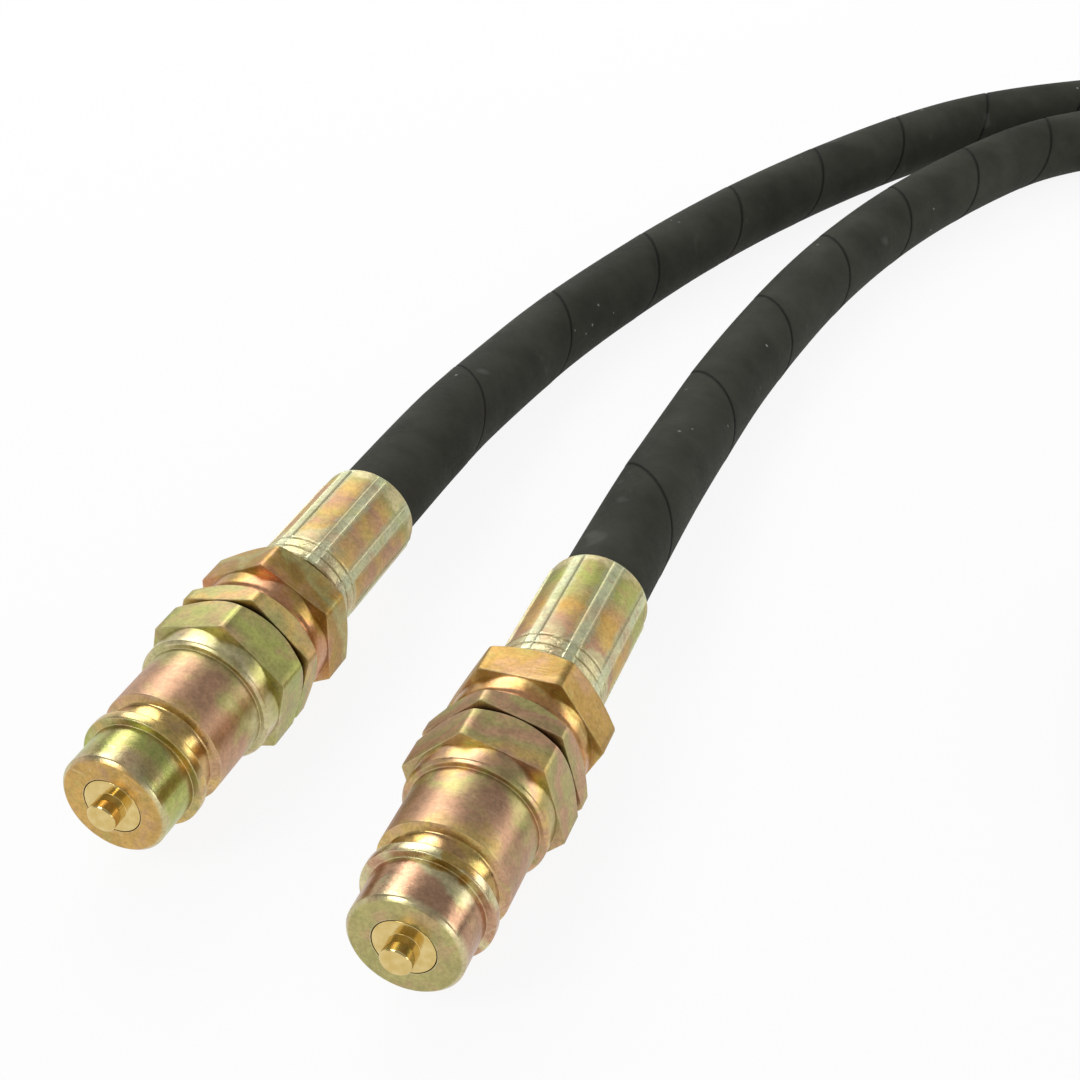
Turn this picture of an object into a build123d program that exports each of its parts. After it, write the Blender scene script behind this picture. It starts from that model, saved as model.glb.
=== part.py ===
"""Hydraulic hose assembly: one rubber hose with a flat-faced male quick coupling on each end.

The origin is the centre of coupling A's tip face. +Y runs along its axis, towards the hose,
and +Z is up. Both couplings lie on their sides and the hose lies on the same surface.
Every station is a distance along a coupling's axis, from its tip face towards the hose.
"""

from build123d import *
from math import cos, radians, sin, tan
import os

# ---------------------------------------------------------------- driving sizes, in mm
# Nose and locking flange, which enter the female coupling
nose_radius = 10.25
nose_chamfer = 0.65
nose_length = 9.3
flange_radius = 11.85
flange_width = 2.0
groove_radius = 10.2
groove_width = 4.8
sleeve_length = 13.7

# Collar and hexagons: every one takes the same spanner
spanner_size = 27.0
collar_radius = 13.3
collar_width = 4.5
collar_bevel = 0.6
tip_hex_width = 8.7
adapter_hex_width = 5.0
hex_chamfer = 2.1
envelope_radius = 16.5
joint_gap = 0.3
body_ring_radius = 0.85
ring_sides = 8

# Swivel nut, M22 x 1.5
nut_gap = 0.1
nut_collar_width = 4.8
nut_collar_bevel = 1.0
nut_ridge_length = 6.6
nut_cone_length = 2.7
nut_end_radius = 10.9
nut_end_wall = 0.3
thread_radius = 11.0
thread_gap = 0.05
thread_length = 9.8

# Crimped ferrule
ferrule_gap = 2.0
ferrule_length = 32.8
ferrule_radius = 10.45
ferrule_wall_length = 2.5
band_radius = 10.6
band_width = 2.1
band_groove = 0.5
band_groove_depth = 0.3
jaw_count = 8
jaw_ridge_width = 2.0
jaw_ridge_height = 0.3
ferrule_edge = 0.8

# Valve inside the tip
poppet_radius = 5.5
poppet_land = 1.0
poppet_head_radius = 7.3
poppet_head_back = 4.6
poppet_spigot = 2.0
nub_radius = 2.8
nub_length = 3.5
nub_edge = 0.25
stem_radius = 2.0
stem_spare = 0.8
valve_gap = 0.15
seal_inner_radius = 6.1
seal_proud = 0.06
seal_back = 1.2
chamber_radius = 8.15
valve_travel = 5.0

# Guide that carries the poppet's stem, and its spring
thread_depth = 16.0
spigot_radius = 9.0
guide_ring_width = 2.0
guide_ring_bore = 7.4
guide_length = 8.0
guide_hub_radius = 3.4
guide_flange_radius = 4.8
guide_flange_width = 1.4
guide_leg_width = 1.6
guide_leg_count = 3
guide_gap = 0.25
stem_gap = 0.05
spring_radius = 3.95
spring_wire = 1.0
spring_turns = 5
wire_sides = 8

# 24 degree cone between the adapter and the hose insert
cone_half_angle = 12.0
cone_mouth_radius = 8.55
cone_depth = 8.0
nose_reach = 7.0
cone_gap = 0.05
adapter_bore_radius = 5.6
cone_ring_radius = 0.75
cone_ring_depth = 3.5
shoulder_radius = 9.8
neck_radius = 7.6
neck_gap = 0.15

# Hose and the insert's stem inside it
hose_radius = 9.0
hose_bore_radius = 4.75
lock_radius = 6.6
lock_flange_width = 1.2
stem_bore_radius = 3.5
insert_stem_length = 27.0
bore_spare = 1.0
barb_count = 3
barb_pitch = 7.0
barb_width = 1.6
barb_depth = 0.45

# Coupling B beside coupling A, in mm and in degrees
tip_b_left = 59.24
tip_b_ahead = 12.62
tip_b_heading = 2.71

# ---------------------------------------------------------------- stations along the axis
flange_start = nose_length
groove_start = flange_start + flange_width
groove_end = groove_start + groove_width
collar_start = groove_end + sleeve_length
tip_hex_start = collar_start + collar_width
tip_end = tip_hex_start + tip_hex_width
adapter_hex_start = tip_end + joint_gap
ring_seat_start = adapter_hex_start - 2 * body_ring_radius
adapter_hex_end = adapter_hex_start + adapter_hex_width
nut_start = adapter_hex_end + nut_gap
nut_hex_start = nut_start + nut_collar_width
nut_ridge_end = nut_hex_start + nut_ridge_length
nut_end = nut_ridge_end + nut_cone_length
ferrule_start = nut_end + ferrule_gap
ferrule_end = ferrule_start + ferrule_length

face_bore_radius = poppet_radius + valve_gap
seat_end = poppet_land + chamber_radius - face_bore_radius
guide_seat = tip_end - thread_depth
guide_front = guide_seat + guide_ring_width - guide_length
guide_end = guide_seat + guide_ring_width
adapter_end = adapter_hex_end + thread_length
shoulder_sum = nut_end - nut_end_wall + neck_radius + neck_gap
neck_start = shoulder_sum - 2 * thread_gap - neck_radius
lock_end = ferrule_start + ferrule_wall_length
hose_start = lock_end + lock_flange_width

corner_radius = spanner_size / 2 / cos(radians(30))
ring_seat_radius = spigot_radius + 2 * body_ring_radius


class End:
    """One coupling: where its tip is, which way it points and how its hexagons are turned."""

    def __init__(self, name, tip, heading, tip_hex, adapter_hex, nut_hex, jaws):
        self.name = name
        self.tip_hex = tip_hex
        self.adapter_hex = adapter_hex
        self.nut_hex = nut_hex
        self.jaws = jaws
        right = (cos(radians(heading)), -sin(radians(heading)), 0)
        self.plane = Plane(origin=tip, x_dir=right, z_dir=(0, 0, 1))
        self.axis = Axis(self.plane.origin, self.plane.y_dir)

    def at(self, station):
        """The point on the axis at a station."""
        return self.plane.origin + self.plane.y_dir * station

    def section(self, station):
        """The plane across the axis at a station, facing the hose."""
        return Plane(origin=self.at(station), x_dir=self.plane.x_dir, z_dir=self.plane.y_dir)


# Where coupling B's tip lies beside coupling A's, and how far B is turned towards it
tip_b = (-tip_b_left, tip_b_ahead, 0)

# Angles are those of one corner, or of one jaw ridge, counted from the level side
ends = [
    End("a", (0, 0, 0), 0.0, tip_hex=44.1, adapter_hex=44.0, nut_hex=61.5, jaws=64.5),
    End("b", tip_b, tip_b_heading, tip_hex=17.8, adapter_hex=14.5, nut_hex=28.3, jaws=66.0),
]


def profile(end, *points):
    """A closed outline of (radius, station) points, beside the axis."""
    with BuildSketch(end.plane) as outline:
        with BuildLine():
            Polyline(*points, close=True)
        make_face()
    return outline.sketch


def hexagon(end, station, turn):
    """A spanner hexagon across the axis, with one corner at the given turn."""
    with BuildSketch(end.section(station)) as outline:
        RegularPolygon(spanner_size / 2, 6, major_radius=False, rotation=-turn)
    return outline.sketch


def hex_envelope(end, start, finish):
    """The turned shape that a hexagon is cut from, with its rear corners chamfered."""
    chamfer_root = corner_radius - hex_chamfer
    return profile(
        end,
        (0, start),
        (envelope_radius, start),
        (envelope_radius, finish - envelope_radius + chamfer_root),
        (chamfer_root, finish),
        (0, finish),
    )


# ---------------------------------------------------------------- tip body
def make_tip_body(end):
    with BuildPart() as tip_body:
        extrude(hexagon(end, tip_hex_start, end.tip_hex), amount=tip_hex_width)
        revolve(hex_envelope(end, tip_hex_start, tip_end), axis=end.axis, mode=Mode.INTERSECT)
        with BuildSketch(end.plane) as turned:
            with BuildLine():
                groove_mid = (groove_start + groove_end) / 2
                Polyline(
                    (flange_radius, groove_start),
                    (flange_radius, flange_start),
                    (nose_radius, flange_start),
                    (nose_radius, nose_chamfer),
                    (nose_radius - nose_chamfer, 0),
                    (0, 0),
                    (0, tip_hex_start),
                    (collar_radius, tip_hex_start),
                    (collar_radius, collar_start + collar_bevel),
                    (collar_radius - collar_bevel, collar_start),
                    (flange_radius, collar_start),
                    (flange_radius, groove_end),
                )
                ThreePointArc(
                    (flange_radius, groove_end),
                    (groove_radius, groove_mid),
                    (flange_radius, groove_start),
                )
            make_face()
        revolve(turned.sketch, axis=end.axis)
        cavity = profile(
            end,
            (0, 0),
            (face_bore_radius, 0),
            (face_bore_radius, poppet_land),
            (chamber_radius, seat_end),
            (chamber_radius, guide_seat),
            (spigot_radius + thread_gap, guide_seat),
            (spigot_radius + thread_gap, ring_seat_start),
            (ring_seat_radius, ring_seat_start),
            (ring_seat_radius, tip_end),
            (0, tip_end),
        )
        revolve(cavity, axis=end.axis, mode=Mode.SUBTRACT)
    return tip_body.part


# ---------------------------------------------------------------- adapter
def make_adapter(end):
    with BuildPart() as adapter:
        extrude(hexagon(end, adapter_hex_start, end.adapter_hex), amount=adapter_hex_width)
        envelope = hex_envelope(end, adapter_hex_start, adapter_hex_end)
        revolve(envelope, axis=end.axis, mode=Mode.INTERSECT)
        spigot = profile(
            end,
            (0, guide_end),
            (spigot_radius, guide_end),
            (spigot_radius, adapter_hex_start),
            (0, adapter_hex_start),
        )
        revolve(spigot, axis=end.axis)
        thread = profile(
            end,
            (0, adapter_hex_end),
            (thread_radius, adapter_hex_end),
            (thread_radius, adapter_end - nose_chamfer),
            (thread_radius - nose_chamfer, adapter_end),
            (0, adapter_end),
        )
        revolve(thread, axis=end.axis)
        cone_end_radius = cone_mouth_radius - cone_depth * tan(radians(cone_half_angle))
        bore = profile(
            end,
            (0, guide_end),
            (adapter_bore_radius, guide_end),
            (adapter_bore_radius, adapter_end - cone_depth),
            (cone_end_radius, adapter_end - cone_depth),
            (cone_mouth_radius, adapter_end),
            (0, adapter_end),
        )
        revolve(bore, axis=end.axis, mode=Mode.SUBTRACT)
    return adapter.part


# ---------------------------------------------------------------- O-rings
def make_ring(end, station, middle_radius, ring_radius):
    """A rubber ring squeezed in its groove, so that its section has flats on all sides."""
    with BuildPart() as ring:
        with BuildSketch(end.plane) as cord:
            with Locations((middle_radius, station)):
                RegularPolygon(ring_radius, ring_sides, major_radius=False, rotation=180 / ring_sides)
        revolve(cord.sketch, axis=end.axis)
    return ring.part


def make_body_o_ring(end):
    middle = spigot_radius + body_ring_radius
    return make_ring(end, ring_seat_start + body_ring_radius, middle, body_ring_radius)


def cone_ring_middle():
    """The middle radius at which the ring in the nose just meets the adapter's cone."""
    wall = cone_mouth_radius - cone_ring_depth * tan(radians(cone_half_angle))
    return wall - cone_ring_radius * (1 + tan(radians(cone_half_angle)))


def make_cone_o_ring(end):
    station = adapter_end - cone_ring_depth
    return make_ring(end, station, cone_ring_middle(), cone_ring_radius)


# ---------------------------------------------------------------- valve
def seal_front(radius):
    """The station at which the seal's cone reaches a radius."""
    return poppet_land + radius - poppet_radius


def make_poppet(end):
    spigot_end = poppet_head_back + poppet_spigot
    step = seal_front(seal_inner_radius)
    with BuildPart() as poppet:
        outline = profile(
            end,
            (0, -nub_length),
            (nub_radius - nub_edge, -nub_length),
            (nub_radius, -nub_length + nub_edge),
            (nub_radius, 0),
            (poppet_radius, 0),
            (poppet_radius, poppet_land),
            (seal_inner_radius, step),
            (seal_inner_radius, poppet_head_back - seal_back),
            (poppet_head_radius, poppet_head_back - seal_back),
            (poppet_head_radius, poppet_head_back),
            (spring_radius - spring_wire, poppet_head_back),
            (spring_radius - spring_wire, spigot_end),
            (stem_radius, spigot_end),
            (stem_radius, guide_end + stem_spare),
            (0, guide_end + stem_spare),
        )
        revolve(outline, axis=end.axis)
    return poppet.part


def make_poppet_seal(end):
    with BuildPart() as poppet_seal:
        outline = profile(
            end,
            (seal_inner_radius, seal_front(seal_inner_radius) - seal_proud),
            (poppet_head_radius, seal_front(poppet_head_radius) - seal_proud),
            (poppet_head_radius, poppet_head_back - seal_back),
            (seal_inner_radius, poppet_head_back - seal_back),
        )
        revolve(outline, axis=end.axis)
    return poppet_seal.part


def make_poppet_spring(end):
    wire_radius = spring_wire / 2
    height = guide_front - poppet_head_back - 2 * (wire_radius + stem_gap)
    with BuildPart() as poppet_spring:
        with BuildLine() as coil:
            Helix(
                pitch=height / spring_turns,
                height=height,
                radius=spring_radius,
                center=end.at(poppet_head_back + wire_radius + stem_gap),
                direction=end.plane.y_dir,
            )
        with BuildSketch(Plane(origin=coil.line @ 0, z_dir=coil.line % 0)) as wire:
            RegularPolygon(wire_radius, wire_sides)
        sweep(wire.sketch, path=coil.line, is_frenet=True)
    return poppet_spring.part


def make_poppet_guide(end):
    leg_reach = chamber_radius - guide_gap
    with BuildPart() as poppet_guide:
        hub = profile(
            end,
            (0, guide_front),
            (guide_flange_radius, guide_front),
            (guide_flange_radius, guide_front + guide_flange_width),
            (guide_hub_radius, guide_front + guide_flange_width),
            (guide_hub_radius, guide_end),
            (0, guide_end),
        )
        revolve(hub, axis=end.axis)
        with BuildSketch(end.section(guide_front)) as legs:
            with PolarLocations(leg_reach / 2, guide_leg_count):
                Rectangle(leg_reach, guide_leg_width)
        extrude(legs.sketch, amount=guide_length)
        ring = profile(
            end,
            (guide_ring_bore, guide_seat),
            (spigot_radius - guide_gap, guide_seat),
            (spigot_radius - guide_gap, guide_end),
            (guide_ring_bore, guide_end),
        )
        revolve(ring, axis=end.axis)
        with BuildSketch(end.section(guide_front)) as hub_bore:
            Circle(stem_radius + stem_gap)
        extrude(hub_bore.sketch, amount=guide_length, mode=Mode.SUBTRACT)
    return poppet_guide.part


# ---------------------------------------------------------------- swivel nut
def make_swivel_nut(end):
    cone_slope = nut_cone_length / (corner_radius - nut_end_radius)
    cone_top = nut_ridge_end - (envelope_radius - corner_radius) * cone_slope
    with BuildPart() as swivel_nut:
        extrude(hexagon(end, nut_hex_start, end.nut_hex), amount=nut_end - nut_hex_start)
        envelope = profile(
            end,
            (0, nut_hex_start),
            (envelope_radius, nut_hex_start),
            (envelope_radius, cone_top),
            (nut_end_radius, nut_end),
            (0, nut_end),
        )
        revolve(envelope, axis=end.axis, mode=Mode.INTERSECT)
        collar = profile(
            end,
            (0, nut_start),
            (collar_radius - nut_collar_bevel, nut_start),
            (collar_radius, nut_start + nut_collar_bevel),
            (collar_radius, nut_hex_start),
            (0, nut_hex_start),
        )
        revolve(collar, axis=end.axis)
        bore_radius = thread_radius + thread_gap
        bore = profile(
            end,
            (0, nut_start),
            (bore_radius, nut_start),
            (bore_radius, shoulder_sum - bore_radius),
            (neck_radius + neck_gap, nut_end - nut_end_wall),
            (neck_radius + neck_gap, nut_end),
            (0, nut_end),
        )
        revolve(bore, axis=end.axis, mode=Mode.SUBTRACT)
    return swivel_nut.part


# ---------------------------------------------------------------- hose insert
def make_hose_insert(end):
    slope = tan(radians(cone_half_angle))
    nose_base = cone_mouth_radius - cone_gap
    nose_tip = nose_base - nose_reach * slope
    stem_end = hose_start + insert_stem_length
    with BuildPart() as hose_insert:
        outline = profile(
            end,
            (stem_bore_radius, adapter_end - nose_reach),
            (nose_tip, adapter_end - nose_reach),
            (nose_base, adapter_end),
            (nose_base, adapter_end + thread_gap),
            (shoulder_radius, adapter_end + thread_gap),
            (shoulder_radius, neck_start + neck_radius - shoulder_radius),
            (neck_radius, neck_start),
            (neck_radius, ferrule_start - thread_gap),
            (lock_radius, ferrule_start - thread_gap),
            (lock_radius, lock_end),
            (neck_radius, lock_end),
            (neck_radius, hose_start),
            (hose_bore_radius, hose_start),
            (hose_bore_radius, stem_end - barb_depth),
            (hose_bore_radius - barb_depth, stem_end),
            (stem_bore_radius, stem_end),
        )
        revolve(outline, axis=end.axis)
        ring_groove_radius = cone_ring_middle() - cone_ring_radius
        ring_station = adapter_end - cone_ring_depth
        ring_groove = profile(
            end,
            (ring_groove_radius, ring_station - cone_ring_radius - cone_gap),
            (cone_mouth_radius, ring_station - cone_ring_radius - cone_gap),
            (cone_mouth_radius, ring_station + cone_ring_radius + cone_gap),
            (ring_groove_radius, ring_station + cone_ring_radius + cone_gap),
        )
        revolve(ring_groove, axis=end.axis, mode=Mode.SUBTRACT)
        for barb in range(barb_count):
            start = stem_end - barb_depth - barb_width - (barb + 0.5) * barb_pitch
            barb_groove = profile(
                end,
                (hose_bore_radius, start),
                (hose_bore_radius, start + barb_width),
                (hose_bore_radius - barb_depth, start + barb_width),
            )
            revolve(barb_groove, axis=end.axis, mode=Mode.SUBTRACT)
    return hose_insert.part


# ---------------------------------------------------------------- ferrule
def make_ferrule(end):
    top = ferrule_radius + jaw_ridge_height
    groove_1 = ferrule_start + band_width
    band_2 = groove_1 + band_groove
    groove_2 = band_2 + band_width
    body_start = groove_2 + band_groove
    groove_bottom = band_radius - band_groove_depth
    with BuildPart() as ferrule:
        with BuildSketch(end.section(ferrule_start)) as jaws:
            with PolarLocations(top / 2, jaw_count, start_angle=-end.jaws):
                Rectangle(top, jaw_ridge_width)
        extrude(jaws.sketch, amount=ferrule_length)
        envelope = profile(
            end,
            (0, ferrule_start),
            (top - ferrule_edge, ferrule_start),
            (top, ferrule_start + ferrule_edge),
            (top, ferrule_end - ferrule_edge),
            (top - ferrule_edge, ferrule_end),
            (0, ferrule_end),
        )
        revolve(envelope, axis=end.axis, mode=Mode.INTERSECT)
        turned = profile(
            end,
            (0, ferrule_start),
            (band_radius - ferrule_edge / 2, ferrule_start),
            (band_radius, ferrule_start + ferrule_edge / 2),
            (band_radius, groove_1),
            (groove_bottom, groove_1),
            (groove_bottom, band_2),
            (band_radius, band_2),
            (band_radius, groove_2),
            (groove_bottom, groove_2),
            (groove_bottom, body_start),
            (ferrule_radius, body_start),
            (ferrule_radius, ferrule_end - ferrule_edge),
            (ferrule_radius - ferrule_edge, ferrule_end),
            (0, ferrule_end),
        )
        revolve(turned, axis=end.axis)
        bore = profile(
            end,
            (0, ferrule_start),
            (lock_radius + thread_gap, ferrule_start),
            (lock_radius + thread_gap, lock_end),
            (hose_radius, lock_end),
            (hose_radius, ferrule_end),
            (0, ferrule_end),
        )
        revolve(bore, axis=end.axis, mode=Mode.SUBTRACT)
    return ferrule.part


# ---------------------------------------------------------------- hose
# The hose leaves each ferrule straight, comes down to the surface and lies on it.
# The couplings rest on their lower corners, which are at this angle on average.
resting_corner = 77.2
floor_height = -corner_radius * sin(radians(resting_corner))
hose_height = floor_height + hose_radius
straight_exit = 30.0
half_down = -5.0

hose_route = [
    (-1, 160, half_down),
    (1, 207, hose_height),
    (10, 267, hose_height),
    (28, 323, hose_height),
    (59, 380, hose_height),
    (118, 406, hose_height),
    (182, 390, hose_height),
    (225, 341, hose_height),
    (230, 277, hose_height),
    (196, 223, hose_height),
    (136, 199, hose_height),
    (103, 145, hose_height),
    (106, 80, hose_height),
    (147, 30, hose_height),
    (208, 15, hose_height),
    (267, 39, hose_height),
    (300, 93, hose_height),
    (296, 158, hose_height),
    (259, 204, hose_height),
    (246, 254, hose_height),
    (258, 316, hose_height),
    (228, 383, hose_height),
    (166, 424, hose_height),
    (90, 422, hose_height),
    (38, 389, hose_height),
    (9, 351, hose_height),
    (-24, 286, hose_height),
    (-46, 217, hose_height),
    (-53, 172, half_down),
]


def route_points():
    """Every point of the route, from inside ferrule A to inside ferrule B."""
    first = [ends[0].at(hose_start), ends[0].at(ferrule_end + straight_exit)]
    last = [ends[1].at(ferrule_end + straight_exit), ends[1].at(hose_start)]
    return first + [Vector(*point) for point in hose_route] + last


def corner_radii(points):
    """For each corner, the largest radius that leaves a tenth of the shorter run straight."""
    radii = []
    for before, corner, after in zip(points, points[1:], points[2:]):
        arriving = corner - before
        leaving = after - corner
        turn = arriving.get_angle(leaving)
        shorter = min(arriving.length, leaving.length)
        radii.append(0.45 * shorter / tan(radians(turn / 2)))
    return radii


def make_hose():
    points = route_points()
    radii = corner_radii(points)
    print("bend radii, mm:", [round(radius) for radius in radii])
    with BuildPart() as hose:
        with BuildLine() as route:
            FilletPolyline(*points, radius=radii)
        with BuildSketch(Plane(origin=route.line @ 0, z_dir=route.line % 0)) as section:
            Circle(hose_radius)
        sweep(section.sketch, path=route.line)
        length = sum(edge.length for edge in route.line.edges())
        print("hose length, mm:", round(length, 1))
        share = hose.part.volume / section.sketch.area / length
        print("volume over section x length:", round(share, 5))
        for end in ends:
            with BuildSketch(end.section(hose_start)) as bore:
                Circle(hose_bore_radius)
            extrude(bore.sketch, amount=insert_stem_length + bore_spare, mode=Mode.SUBTRACT)
    return hose.part


# ---------------------------------------------------------------- write every piece
makers = {
    "tip_body": make_tip_body,
    "adapter": make_adapter,
    "body_o_ring": make_body_o_ring,
    "poppet": make_poppet,
    "poppet_seal": make_poppet_seal,
    "poppet_spring": make_poppet_spring,
    "poppet_guide": make_poppet_guide,
    "swivel_nut": make_swivel_nut,
    "hose_insert": make_hose_insert,
    "cone_o_ring": make_cone_o_ring,
    "ferrule": make_ferrule,
}

os.makedirs("parts", exist_ok=True)


def write(part, name):
    part.label = name
    export_step(part, f"parts/{name}.step")


for end in ends:
    for name, make in makers.items():
        write(make(end), f"{name}_{end.name}")

write(make_hose(), "hose")
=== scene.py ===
"""Looks of the hydraulic hose assembly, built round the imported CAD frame.

Everything is in metres in the row frame. A coupling's own frame has its axis along +Y, from the
tip face (station 0) towards the hose, and sizes along it are given in millimetres.
"""

import bisect
import math

import bmesh
import bpy
from mathutils import Matrix, Vector


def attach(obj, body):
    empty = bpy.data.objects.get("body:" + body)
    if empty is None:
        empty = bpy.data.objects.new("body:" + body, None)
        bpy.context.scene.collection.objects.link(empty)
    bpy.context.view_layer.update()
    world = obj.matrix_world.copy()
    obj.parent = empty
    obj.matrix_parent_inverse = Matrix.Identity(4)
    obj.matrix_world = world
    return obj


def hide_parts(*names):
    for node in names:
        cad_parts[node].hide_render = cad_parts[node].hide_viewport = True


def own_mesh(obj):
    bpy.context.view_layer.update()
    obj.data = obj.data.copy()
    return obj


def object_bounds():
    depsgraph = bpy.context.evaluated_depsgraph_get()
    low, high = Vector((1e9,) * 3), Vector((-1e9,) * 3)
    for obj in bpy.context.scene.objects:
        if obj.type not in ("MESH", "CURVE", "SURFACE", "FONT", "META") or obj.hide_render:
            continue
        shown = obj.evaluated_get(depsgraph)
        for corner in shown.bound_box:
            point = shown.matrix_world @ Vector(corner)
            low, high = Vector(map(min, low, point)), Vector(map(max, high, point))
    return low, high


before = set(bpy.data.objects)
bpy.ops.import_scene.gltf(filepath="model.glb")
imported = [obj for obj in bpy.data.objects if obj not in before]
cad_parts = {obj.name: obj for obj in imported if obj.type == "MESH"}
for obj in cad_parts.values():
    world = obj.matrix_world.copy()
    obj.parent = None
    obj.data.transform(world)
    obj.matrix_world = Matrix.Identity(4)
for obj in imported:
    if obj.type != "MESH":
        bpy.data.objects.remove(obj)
cad_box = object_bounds()
scene = bpy.context.scene
MM = 0.001

# ---------------------------------------------------------------- camera
CAMERA_PLACE = (0.08667, -0.17966, 0.21569)
CAMERA_PITCH = 55.11
CAMERA_TURN = 19.64
CAMERA_LENS = 61.2

camera = bpy.data.objects.new("camera", bpy.data.cameras.new("camera"))
camera.location = CAMERA_PLACE
camera.rotation_euler = (math.radians(CAMERA_PITCH), 0, math.radians(CAMERA_TURN))
camera.data.lens = CAMERA_LENS
camera.data.sensor_width = 36
camera.data.clip_start = 0.01
scene.collection.objects.link(camera)
scene.camera = camera

# ---------------------------------------------------------------- sizes of a coupling, in mm
# Stations
NOSE_END, FLANGE_END, GROOVE_END = 9.3, 11.3, 16.1
COLLAR_START, TIP_HEX_START, TIP_END = 29.8, 34.3, 43.0
SPIGOT_START, ADAPTER_HEX_START, ADAPTER_HEX_END, ADAPTER_END = 29.0, 43.3, 48.3, 58.1
NUT_START, NUT_HEX_START, NUT_RIDGE_END, NUT_END = 48.4, 53.2, 59.8, 62.5
FERRULE_START, FERRULE_WALL_END, FERRULE_END = 64.5, 67.0, 97.3
HOSE_START = 68.2
POPPET_HEAD_FRONT, POPPET_HEAD_BACK, POPPET_SPIGOT_END, STEM_END = 3.4, 4.6, 6.6, 29.8
GUIDE_FRONT = 20.7

# Radii, and half the width across the flats of the hexagons
NOSE_RADIUS, FLANGE_RADIUS, GROOVE_RADIUS = 10.25, 11.85, 10.2
COLLAR_RADIUS = 13.3
FLAT_RADIUS = 13.5
CORNER_RADIUS = 15.4
SHARP_CORNER_RADIUS = 15.588
CHAMFER_ROOT = 13.35
SEAT_RADIUS, CHAMBER_RADIUS, TIP_THREAD_RADIUS, BODY_RING_SEAT = 5.65, 8.15, 9.05, 10.75
SPIGOT_RADIUS, ADAPTER_BORE, ADAPTER_FACE_RADIUS, THREAD_RADIUS = 9.0, 5.6, 13.2, 11.0
CONE_MOUTH_RADIUS, CONE_END_RADIUS = 8.55, 6.85
NUT_THREAD_RADIUS, NUT_BORE, NUT_END_RADIUS = 11.05, 7.75, 10.9
FERRULE_RADIUS, BAND_RADIUS, DIP_RADIUS = 10.42, 10.6, 10.3
FERRULE_BORE, FERRULE_WALL_BORE = 9.02, 6.65
HOSE_RADIUS = 9.0
PIN_RADIUS, POPPET_RADIUS, POPPET_CONE_RADIUS, POPPET_HEAD_RADIUS = 2.8, 5.5, 6.1, 7.3
POPPET_SPIGOT_RADIUS, STEM_RADIUS = 2.95, 2.0

# Lengths along the axis
GROOVE_SLOPE = 0.7
CONE_DEPTH = 8
PIN_LENGTH = 3.5
STEM_GAP = 0.05
# The spring's mean radius, its wire's radius and how many of its turns are open
SPRING = dict(radius=3.95, wire=0.5, turns=5)

# Where each coupling's tip is in mm, which way it points, and how its hexagons and the jaws'
# marks are turned round its axis, in degrees. The seed shifts the spots of its film.
ENDS = {
    "a": dict(
        tip=(0, 0, 0),
        heading=0.0,
        tip_hex=44.1,
        adapter_hex=44.0,
        nut_hex=61.5,
        jaws=64.5,
        seed=0.31,
    ),
    "b": dict(
        tip=(-59.24, 12.62, 0),
        heading=2.71,
        tip_hex=17.8,
        adapter_hex=14.5,
        nut_hex=28.3,
        jaws=66.0,
        seed=0.83,
    ),
}


def place_of(end):
    """The matrix that takes a coupling's own frame, in metres, to the row frame."""
    turn = Matrix.Rotation(-math.radians(end["heading"]), 4, "Z")
    return Matrix.Translation(Vector(end["tip"]) * MM) @ turn


def along(end, station):
    """The point on a coupling's axis at a station, in metres."""
    return place_of(end) @ Vector((0, station * MM, 0))


# ---------------------------------------------------------------- hose
# Heights from the couplings' axis, in mm
FLOOR = -15.2
HOSE_HEIGHT = FLOOR + HOSE_RADIUS
HALF_DOWN = -5.0
STRAIGHT_EXIT = 30.0

# The centreline's control points between the two straight exits, in mm
ROUTE = [
    (-1, 160, HALF_DOWN),
    (1, 207, HOSE_HEIGHT),
    (10, 267, HOSE_HEIGHT),
    (28, 323, HOSE_HEIGHT),
    (59, 380, HOSE_HEIGHT),
    (118, 406, HOSE_HEIGHT),
    (182, 390, HOSE_HEIGHT),
    (225, 341, HOSE_HEIGHT),
    (230, 277, HOSE_HEIGHT),
    (196, 223, HOSE_HEIGHT),
    (136, 199, HOSE_HEIGHT),
    (103, 145, HOSE_HEIGHT),
    (106, 80, HOSE_HEIGHT),
    (147, 30, HOSE_HEIGHT),
    (208, 15, HOSE_HEIGHT),
    (267, 39, HOSE_HEIGHT),
    (300, 93, HOSE_HEIGHT),
    (296, 158, HOSE_HEIGHT),
    (259, 204, HOSE_HEIGHT),
    (246, 254, HOSE_HEIGHT),
    (258, 316, HOSE_HEIGHT),
    (228, 383, HOSE_HEIGHT),
    (166, 424, HOSE_HEIGHT),
    (90, 422, HOSE_HEIGHT),
    (38, 389, HOSE_HEIGHT),
    (9, 351, HOSE_HEIGHT),
    (-24, 286, HOSE_HEIGHT),
    (-46, 217, HOSE_HEIGHT),
    (-53, 172, HALF_DOWN),
]


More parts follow.
